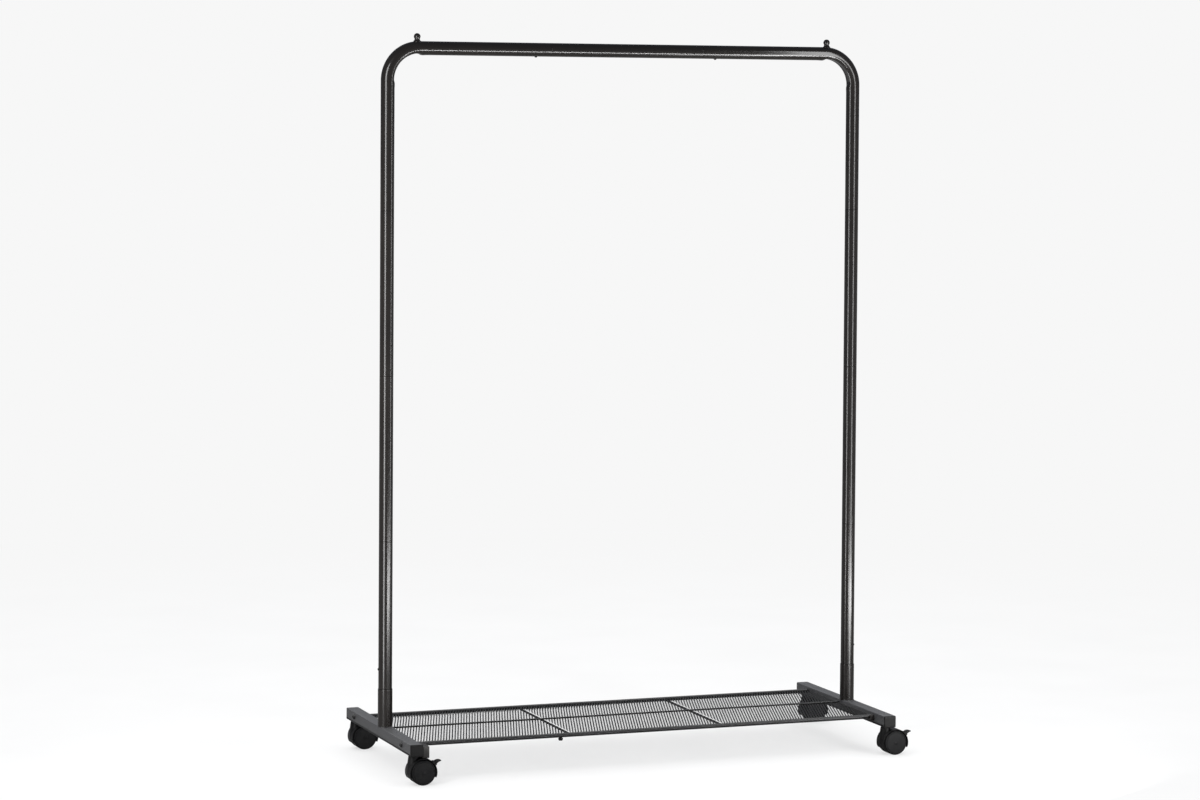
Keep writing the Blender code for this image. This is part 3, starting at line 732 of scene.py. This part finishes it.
def expanded(name, node, nx, ny, wide=0.0027, thin=0.00050):
    """Expanded metal: a slit and stretched sheet as one closed mesh.  Strands leaning one way lie flat and broad,
    those leaning the other way stand on edge; the last half row of openings at the back is turned down as a hem."""
    lo, hi = lohi(node)
    sw, lw = (hi.x - lo.x) / nx, (hi.y - lo.y) / ny
    th = 0.00030
    zt = hi.z
    D = sw * lw / 2 / math.hypot(sw / 2, lw / 2)
    tA, sB = wide / 2 / D, thin / 2 / D
    verts, grid, faces, edges = [], {}, [], {}

    def vid(key, x, y, top, lift):
        """A point of the flat blank; whatever runs past the front or rear edge folds straight down."""
        if key not in grid:
            z = zt + lift - (0.0 if top else th)
            for sgn, lim in ((1, hi.y), (-1, lo.y)):
                if sgn * y > sgn * lim:
                    d = sgn * (y - lim)
                    y = lim - sgn * (0.0 if top else th)
                    z = zt - d
            grid[key] = len(verts)
            verts.append((min(max(x, lo.x), hi.x), y, z))
        return grid[key]

    def rim(i2, j2, top):
        return vid(("v", i2, j2, top), lo.x + i2 * sw / 2, lo.y + j2 * lw / 2, top, 0.0)
    cells = [(2 * i + 1, 2 * j + 1) for i in range(nx) for j in range(ny)]
    cells += [(2 * i, 2 * j) for i in range(1, nx) for j in range(1, ny + 1)]
    ax, ay = sw / 2, lw / 2
    for ci, cj in cells:
        vx, vy = lo.x + ci * ax, lo.y + (cj - 1) * ay
        corner = [(ci - 1, cj), (ci, cj - 1), (ci + 1, cj), (ci, cj + 1)]
        inner = [(sB, 1 - tA), (sB, tA), (1 - sB, tA), (1 - sB, 1 - tA)]
        rt = [rim(a, b, True) for a, b in corner]
        rb = [rim(a, b, False) for a, b in corner]
        it, ib = [], []
        for k, (u, w) in enumerate(inner):
            px, py = vx + u * ax - w * ax, vy + u * ay + w * ay
            lift = 0.00016 if k in (0, 3) else -0.00016
            it.append(vid(("i", ci, cj, k, 1), px, py, True, lift))
            ib.append(vid(("i", ci, cj, k, 0), px, py, False, lift))
        for k in range(4):
            k2 = (k + 1) % 4
            faces.append((rt[k], rt[k2], it[k2], it[k]))
            faces.append((rb[k2], rb[k], ib[k], ib[k2]))
            faces.append((it[k], it[k2], ib[k2], ib[k]))
            e = tuple(sorted((corner[k], corner[k2])))
            edges.setdefault(e, []).append((rt[k], rt[k2], rb[k], rb[k2]))
    for uses in edges.values():
        if len(uses) == 1:
            a, b, c, d = uses[0]
            faces.append((b, a, c, d))
    ob = mesh_ob(name, verts, faces, smooth=False)
    recalc(ob)
    link(ob, M_MESH, "frame", "shelf_paint", node)
    return ob


for side in ("left", "middle", "right"):
    expanded(f"mesh_{side}", f"shelf_mesh_{side}", 56, 18)
# solid selvedge left along the long edges of each sheet, pressed against the bars
for side in ("left", "middle", "right"):
    lo, hi = lohi(f"shelf_mesh_{side}")
    for end, ye, sg in (("front", lo.y, 1), ("rear", hi.y, -1)):
        loop = rounded_loop(0.0026, 0.0011, 0.00035, 3)
        st = [(lambda p, x=x: (x, ye + sg * 0.0013 + p[0], hi.z + 0.0001 + p[1])) for x in (lo.x, hi.x)]
        edge = pipe(f"mesh_edge_{side}_{end}", st, loop)
        recalc(edge)
        sharpen(edge, 40)
        link(edge, M_MESH, "frame", "shelf_paint")

for side, x, out in (("left", XL, -1), ("right", XR, 1)):
    for end, y in (("front", -SHELF_Y), ("rear", SHELF_Y)):
        zo = FOOT_W / 2 + 0.0001
        prof = fillet_profile([(0, zo + 0.0012), (0.0025, zo + 0.0012, 0.0001), (0.0026, zo + 0.0039, 0.0002), (0.0046, zo + 0.0036, 0.0016), (0.0055, zo + 0.0006, 0.0004), (0.0054, zo, 0.0001),
                               (0.0023, zo), (0.0023, -FOOT_W / 2 - 0.016, 0.0006), (0, -FOOT_W / 2 - 0.0166)], 5)
        b = lathe(f"bolt_{side}_{end}", prof, 48, at=(x, y, SHELF_Z), rot=RX if out > 0 else RNX)
        # hexagon socket
        for v in b.data.vertices:
            d = Vector((v.co.y - y, v.co.z - SHELF_Z))
            if 0.0020 < d.length < 0.0030 and abs(v.co.x - x) > zo + 0.0005:
                a = math.atan2(d.y, d.x) % (math.pi / 3) - math.pi / 6
                k = 0.87 / math.cos(a)
                v.co.y = y + d.x * k
                v.co.z = SHELF_Z + d.y * k
        link(b, M_BOLT, "frame", "button_steel", f"shelf_bolt_{side}_{end}")

    # lug: keep the frame's shape with softened edges
    src = NODES[f"shelf_lug_{side}"]
    lug = bpy.data.objects.new(f"lug_{side}", src.data.copy())
    coll.objects.link(lug)
    bm = bmesh.new()
    bm.from_mesh(lug.data)
    bmesh.ops.remove_doubles(bm, verts=bm.verts, dist=1e-6)
    bmesh.ops.dissolve_limit(bm, angle_limit=math.radians(1), verts=bm.verts, edges=bm.edges)
    bm.to_mesh(lug.data)
    bm.free()
    mod = lug.modifiers.new("bev", 'BEVEL')
    mod.width = 0.00045
    mod.segments = 3
    mod.limit_method = 'ANGLE'
    mod.angle_limit = math.radians(40)
    apply_mods(lug)
    sharpen(lug, 50)
    link(lug, M_LUG, "frame", "shelf_paint", f"shelf_lug_{side}")

lo, hi = lohi("shelf_pad")
c = (lo + hi) / 2
h = hi.z - lo.z
r = (hi.x - lo.x) / 2
prof = [(0, h / 2), (0.0034, h / 2), (0.0038, h / 2 - 0.0004)]
for a in range(0, 91, 10):
    prof.append((r * (0.62 + 0.38 * math.cos(math.radians(a - 25))), h / 2 - 0.0012 - (h - 0.0012) * (a / 90) ** 1.15))
prof += [(0, -h / 2)]
link(lathe("pad", prof, 40, at=tuple(c)), M_CAP, "frame", "cap_plastic", "shelf_pad")

# ------------------------------------------------------------------ casters


def sweep_band(name, r_in, r_out, a0, a1, half, n=48, rc=0.0010):
    """Fender: rounded band swept round the wheel.  Wheel centre at the origin, axle along Y."""
    th = r_out - r_in
    loop = rounded_loop(2 * half, th, min(rc, th * 0.49), 4)
    st = []
    for i in range(n + 1):
        a = math.radians(a0 + (a1 - a0) * i / n)
        # the free ends thin to a rounded tip
        e = min(i, n - i)
        k = 1.0 if e > 1 else (0.86 if e == 1 else 0.60)
        rm = (r_in + r_out) / 2

        def f(p, a=a, k=k, rm=rm):
            rr = rm + p[1] * k
            return (rr * math.cos(a), p[0] * (0.97 + 0.03 * k), rr * math.sin(a))
        st.append(f)
    ob = pipe(name, st, loop)
    bm = bmesh.new()
    bm.from_mesh(ob.data)
    bmesh.ops.recalc_face_normals(bm, faces=bm.faces)
    bm.to_mesh(ob.data)
    bm.free()
    return ob


def housing_mesh(brake):
    """Moulded housing at the origin (wheel centre)."""
    half = lohi("caster_housing_left_front")[1].y - lohi("caster_housing_left_front")[0].y
    half /= 2
    h = sweep_band("housing_tmp", FENDER_IN, FENDER_OUT, -22, 205, half)
    # web
    pts = [((FENDER_IN + 0.0008) * math.cos(math.radians(a)), (FENDER_IN + 0.0008) * math.sin(math.radians(a))) for a in np.linspace(-18, 201, 40)]
    pts += [(0.0170 * math.cos(math.radians(a)), 0.0170 * math.sin(math.radians(a))) for a in np.linspace(212, 331, 20)]
    n = len(pts)
    v = [(px, -0.0018, pz) for px, pz in pts] + [(px, 0.0018, pz) for px, pz in pts]
    f = [tuple(range(n)), tuple(range(2 * n - 1, n - 1, -1))] + [(i, i + n, (i + 1) % n + n, (i + 1) % n) for i in range(n)]
    web = mesh_ob("web_tmp", v, f, smooth=False)
    boolean(h, web, 'UNION')
    top = lohi("caster_housing_left_front")[1].z - WHEEL_R
    neck = lathe("neck_tmp", fillet_profile([(0, top), (0.0106, top, 0.0010), (0.0113, top - 0.0050, 0.004), (0.0126, 0.0200, 0.006), (0.0137, 0.0060, 0.004), (0.0136, -0.0040, 0.0015), (0.0120, -0.0050), (0, -0.0050)], 6), 72, at=(-TRAIL, 0, 0))
    boolean(h, neck, 'UNION')
    for s in (-1, 1):
        room = cutter(lathe("room", [(0, 0.03), (FENDER_IN - 0.0002, 0.03), (FENDER_IN - 0.0002, 0.0021), (0, 0.0021)], 96, rot=RY if s > 0 else RNY))
        boolean(h, room)
    z0 = lohi("caster_stem_left_front")[0].z - WHEEL_R - 0.0004
    bore = cutter(lathe("bore", [(0, 0.06), (0.0042, 0.06), (0.0042, z0), (0, z0)], 40, at=(-TRAIL, 0, 0)))
    boolean(h, bore)
    ax = cutter(lathe("axb", [(0, 0.02), (0.0031, 0.02), (0.0031, -0.02), (0, -0.02)], 40, rot=RY))
    boolean(h, ax)
    if brake:
        a = math.radians(31)
        hr = FENDER_OUT + 0.0030
        hx, hz = hr * math.cos(a), hr * math.sin(a)
        ca, sa = math.cos(a), math.sin(a)
        for s in (-1, 1):
            y0, y1 = sorted((s * 0.0071, s * 0.0096))
            prof = []
            for k in range(0, 181, 15):
                t = math.radians(k)
                prof.append((0.0040 * -math.cos(t), 0.0002 + 0.0030 * math.sin(t)))
            prof = [(-0.0048, -0.0036)] + prof + [(0.0048, -0.0036)]
            pts = [(hx + u * sa + w * ca, hz - u * ca + w * sa) for u, w in prof][::-1]
            n = len(pts)
            v = [(px, y0, pz) for px, pz in pts] + [(px, y1, pz) for px, pz in pts]
            f = [tuple(range(n)), tuple(range(2 * n - 1, n - 1, -1))] + [(i, i + n, (i + 1) % n + n, (i + 1) % n) for i in range(n)]
            boolean(h, mesh_ob("ear", v, f, smooth=False), 'UNION')
        pin = cutter(lathe("pin", [(0, 0.02), (0.0012, 0.02), (0.0012, -0.02), (0, -0.02)], 24, at=(hx, 0, hz), rot=RY))
        boolean(h, pin)
    sharpen(h, 32)
    me = h.data
    bpy.data.objects.remove(h, do_unlink=True)
    return me


H_BRAKE = housing_mesh(True)
H_PLAIN = housing_mesh(False)


def wheel_profile():
    ro, wi, wo = WHEEL_R, W_IN, W_OUT
    k = WHEEL_R / 0.025
    return fillet_profile([
        (0, wo), (0.0042, wo - 0.00002), (0.0048, wo - 0.0004, 0.0002), (0.0192 * k, wo - 0.00030), (0.0206 * k, wo - 0.0004, 0.0003), (0.0210 * k, wo - 0.0014, 0.0002),
        (0.0219 * k, wo - 0.0014, 0.0002), (0.0223 * k, wo - 0.0007, 0.0004), (0.0234 * k, wo - 0.0010, 0.0008),
        (ro, wo - 0.0034, 0.0018), (ro, wi + 0.0004, 0.0010), (ro - 0.0020, wi, 0.0004), (0.0225, wi + 0.0002), (0.0215, wi + 0.0020), (0.0075, wi + 0.0020), (0.0070, wi), (0.0031, wi),
        (0.0031, 0.0140), (0, 0.0140)], 4)


def translate_mesh(me, v):
    out = me.copy()
    out.transform(Matrix.Translation(Vector(v)))
    return out


for side, x in (("left", XL), ("right", XR)):
    for end, y in (("front", -CASTER_Y), ("rear", CASTER_Y)):
        tag = f"{side}_{end}"
        cx = x + TRAIL
        me = translate_mesh(H_BRAKE if end == "front" else H_PLAIN, (cx, y, WHEEL_R))
        h = bpy.data.objects.new(f"housing_{tag}", me)
        coll.objects.link(h)
        link(h, M_CASTER, f"swivel_{tag}", "caster_plastic", f"caster_housing_{tag}")
        lo, hi = lohi(f"caster_stem_{tag}")
        prof = fillet_profile([(0, hi.z), (0.0030, hi.z, 0.0004), (0.0040, hi.z - 0.0016, 0.0004), (0.0040, FOOT_BOT - 0.0002), (0.0080, FOOT_BOT - 0.0002, 0.0003),
                               (0.0080, FOOT_BOT - 0.0012, 0.0003), (0.0040, FOOT_BOT - 0.0012), (0.0040, lo.z + 0.0008), (0.0030, lo.z), (0, lo.z)], 3)
        link(lathe(f"stem_{tag}", prof, 40, at=(x, y, 0)), M_ZINC, "frame", "bright_steel", f"caster_stem_{tag}")
        lo, hi = lohi(f"caster_axle_{tag}")
        hl = (hi.y - lo.y) / 2
        prof = fillet_profile([(0, hl), (0.0030, hl, 0.0005), (0.0030, -hl, 0.0005), (0, -hl)], 3)
        link(lathe(f"axle_{tag}", prof, 32, at=(cx, y, WHEEL_R), rot=RY), M_ZINC, f"swivel_{tag}", "bright_steel", f"caster_axle_{tag}")
        for s in (-1, 1):
            w = "outer" if (s < 0) == (end == "front") else "inner"
            ob = lathe(f"wheel_{tag}_{w}", wheel_profile(), 80, at=(cx, y, WHEEL_R), rot=RY if s > 0 else RNY)
            link(ob, M_WHEEL, f"wheel_{tag}_{w}", "wheel_plastic", f"caster_wheel_{tag}_{w}")
        if end == "front":
            a = math.radians(31)
            hr = FENDER_OUT + 0.0030
            hx, hz = cx + hr * math.cos(a), WHEEL_R + hr * math.sin(a)
            # lever: barrel and a beak-shaped tab, outline rounded by corner cutting
            ring = [(0.0000, 0.0027), (-0.0015, 0.0014), (-0.0018, 0.0000), (-0.0013, -0.0013), (0.0000, -0.0018), (0.0019, -0.0015),
                    (0.0046, -0.0006), (0.0072, 0.0014), (0.0102, 0.0030), (0.0132, 0.0039), (0.0140, 0.0046), (0.0139, 0.0055),
                    (0.0128, 0.0062), (0.0090, 0.0066), (0.0052, 0.0061), (0.0022, 0.0048)]
            for _ in range(2):
                ring = [(p[0] + (q[0] - p[0]) * t, p[1] + (q[1] - p[1]) * t) for p, q in zip(ring, ring[1:] + ring[:1]) for t in (0.25, 0.75)]
            cen = Vector((sum(p[0] for p in ring) / len(ring), sum(p[1] for p in ring) / len(ring)))
            n = len(ring)
            st = []
            for yy, k in ((-0.0066, 0.90), (-0.0063, 0.97), (-0.0056, 1.0), (0.0056, 1.0), (0.0063, 0.97), (0.0066, 0.90)):
                st.append(lambda p, yy=yy, k=k: (hx + cen.x + (p[0] - cen.x) * k, y + yy, hz + cen.y + (p[1] - cen.y) * k))
            lev = pipe(f"lever_{side}", st, ring)
            bm = bmesh.new()
            bm.from_mesh(lev.data)
            bmesh.ops.recalc_face_normals(bm, faces=bm.faces)
            bm.to_mesh(lev.data)
            bm.free()
            tr = lathe("trun", [(0, 0.0092), (0.0010, 0.0092), (0.0011, 0.0090), (0.0011, -0.0090), (0.0010, -0.0092), (0, -0.0092)], 24, at=(hx, y, hz), rot=RY)
            boolean(lev, tr, 'UNION')
            sharpen(lev, 40)
            link(lev, M_CASTER, f"lever_{side}", "caster_plastic", f"brake_lever_{side}")

# ------------------------------------------------------------------ floor, light, camera
fl = mesh_ob("floor", [(-60, -60, 0), (60, -60, 0), (60, 60, 0), (-60, 60, 0)], [(0, 1, 2, 3)], smooth=False)
m, nt, bsdf = _nodes("studio_floor")
tc = nt.nodes.new("ShaderNodeTexCoord")
nz = _noise(nt, tc.outputs["Object"], 3.0, 3, 0.5)
cr = _ramp(nt, nz.outputs["Fac"], [(0.3, (0.265, 0.265, 0.263)), (0.7, (0.285, 0.285, 0.283))])
nt.links.new(cr.outputs["Color"], bsdf.inputs["Base Color"])
bsdf.inputs["Roughness"].default_value = 0.8
bsdf.inputs["Specular IOR Level"].default_value = 0.1
# the sweep lifts to white away from the part, and glows for the camera more than for the part's reflections
ln = nt.nodes.new("ShaderNodeVectorMath")
ln.operation = 'LENGTH'
nt.links.new(tc.outputs["Object"], ln.inputs[0])
far = _maprange(nt, ln.outputs["Value"], 0.9, 4.0, 0.0, 1.0)
far.interpolation_type = 'SMOOTHSTEP'
glow = nt.nodes.new("ShaderNodeEmission")
glow.inputs["Color"].default_value = (1.0, 1.0, 1.0, 1.0)
glow.inputs["Strength"].default_value = 0.93
near_glow = nt.nodes.new("ShaderNodeEmission")
near_glow.inputs["Color"].default_value = (1.0, 1.0, 1.0, 1.0)
near_glow.inputs["Strength"].default_value = 0.63
add = nt.nodes.new("ShaderNodeAddShader")
nt.links.new(bsdf.outputs[0], add.inputs[0])
nt.links.new(near_glow.outputs[0], add.inputs[1])
sweep = nt.nodes.new("ShaderNodeMixShader")
nt.links.new(far.outputs["Result"], sweep.inputs[0])
nt.links.new(add.outputs[0], sweep.inputs[1])
nt.links.new(glow.outputs[0], sweep.inputs[2])
lpf = nt.nodes.new("ShaderNodeLightPath")
seen = nt.nodes.new("ShaderNodeMixShader")
nt.links.new(lpf.outputs["Is Camera Ray"], seen.inputs[0])
nt.links.new(bsdf.outputs[0], seen.inputs[1])
nt.links.new(sweep.outputs[0], seen.inputs[2])
nt.links.new(seen.outputs[0], nt.nodes["Material Output"].inputs["Surface"])
fl.data.materials.append(m)

# the room seen directly is pale, the room that lights the part is dimmer, so black paint stays black
world = bpy.data.worlds.new("studio")
bpy.context.scene.world = world
world.use_nodes = True
wt = world.node_tree
bg = wt.nodes["Background"]
bg.inputs["Color"].default_value = (0.80, 0.86, 1.0, 1)
bg.inputs["Strength"].default_value = 0.17
bg2 = wt.nodes.new("ShaderNodeBackground")
bg2.inputs["Color"].default_value = (1.0, 1.0, 1.0, 1)
bg2.inputs["Strength"].default_value = 0.93
lp = wt.nodes.new("ShaderNodeLightPath")
mx = wt.nodes.new("ShaderNodeMixShader")
wt.links.new(lp.outputs["Is Camera Ray"], mx.inputs[0])
wt.links.new(bg.outputs[0], mx.inputs[1])
wt.links.new(bg2.outputs[0], mx.inputs[2])
wt.links.new(mx.outputs[0], wt.nodes["World Output"].inputs["Surface"])
bpy.context.scene.view_settings.view_transform = 'Standard'


def area(name, loc, target, size, energy, color=(1, 1, 1), spread=180):
    d = bpy.data.lights.new(name, 'AREA')
    d.shape = 'RECTANGLE'
    d.size, d.size_y = size
    d.energy = energy
    d.color = color
    d.spread = math.radians(spread)
    o = bpy.data.objects.new(name, d)
    coll.objects.link(o)
    o.location = loc
    v = Vector(target) - Vector(loc)
    o.rotation_euler = v.to_track_quat('-Z', 'Y').to_euler()
    o.visible_camera = False
    return o


sun_d = bpy.data.lights.new("overhead", 'SUN')
sun_d.energy = 3.2
sun_d.angle = math.radians(96)
sun = bpy.data.objects.new("overhead", sun_d)
coll.objects.link(sun)
sun.rotation_euler = (math.radians(-10), math.radians(-6), 0)

area("strip_left", (XL - 0.70, PY - 0.71, 1.02), (XL, PY, 1.02), (0.19, 2.0), 12)
area("strip_right", (XR + 0.27, -0.80, 1.02), (XR - 0.20, PY, 1.02), (0.13, 2.0), 8)
area("strip_low", (0.85, -1.75, 0.05), (0.2, PY, 1.5), (2.3, 0.22), 19, spread=110)

# a second pair of strips in the same places, flagged so that they light the tubes alone
tubes = bpy.data.collections.new("tubes_lit_by_strips")
for ob in coll.objects:
    if ob.name.startswith(("post_tube_", "corner_", "socket_", "rail_middle", "peg_")):
        tubes.objects.link(ob)
for o in (area("strip_left_tubes", (XL - 0.70, PY - 0.71, 1.02), (XL, PY, 1.02), (0.25, 2.0), 24),
          area("strip_right_tubes", (XR + 0.27, -0.80, 1.02), (XR - 0.20, PY, 1.02), (0.15, 2.0), 8)):
    o.light_linking.receiver_collection = tubes
# the overhead light is flagged off the tubes, which keeps the upper side of the rail dark
shaded = bpy.data.collections.new("kept_from_overhead")
for ob in tubes.objects:
    shaded.objects.link(ob)
for c in shaded.collection_objects:
    c.light_linking.link_state = 'EXCLUDE'
sun.light_linking.receiver_collection = shaded

cam_d = bpy.data.cameras.new("camera")
cam = bpy.data.objects.new("camera", cam_d)
coll.objects.link(cam)
f_px, cxp, cyp = 3401.3, 600.0, 258.3
yaw, pitch, roll = 0.3572, 0.0416, 0.0068
fwd = Vector((math.sin(yaw) * math.cos(pitch), math.cos(yaw) * math.cos(pitch), -math.sin(pitch)))
right = Vector((math.cos(yaw), -math.sin(yaw), 0.0))
up = right.cross(fwd)
r2 = math.cos(roll) * right + math.sin(roll) * up
u2 = -math.sin(roll) * right + math.cos(roll) * up
rotm = Matrix((r2, u2, -fwd)).transposed()
cam.matrix_world = Matrix.Translation(Vector((-2.6849 + X0, -7.0361 + PY, 1.3259 + FOOT_TOP))) @ rotm.to_4x4()
cam_d.sensor_width = 36.0
cam_d.sensor_fit = 'HORIZONTAL'
cam_d.lens = f_px / 1200 * 36.0
cam_d.shift_x = (600.0 - cxp) / 1200.0
cam_d.shift_y = (cyp - 400.0) / 1200.0
cam_d.clip_end = 200.0
bpy.context.scene.camera = cam

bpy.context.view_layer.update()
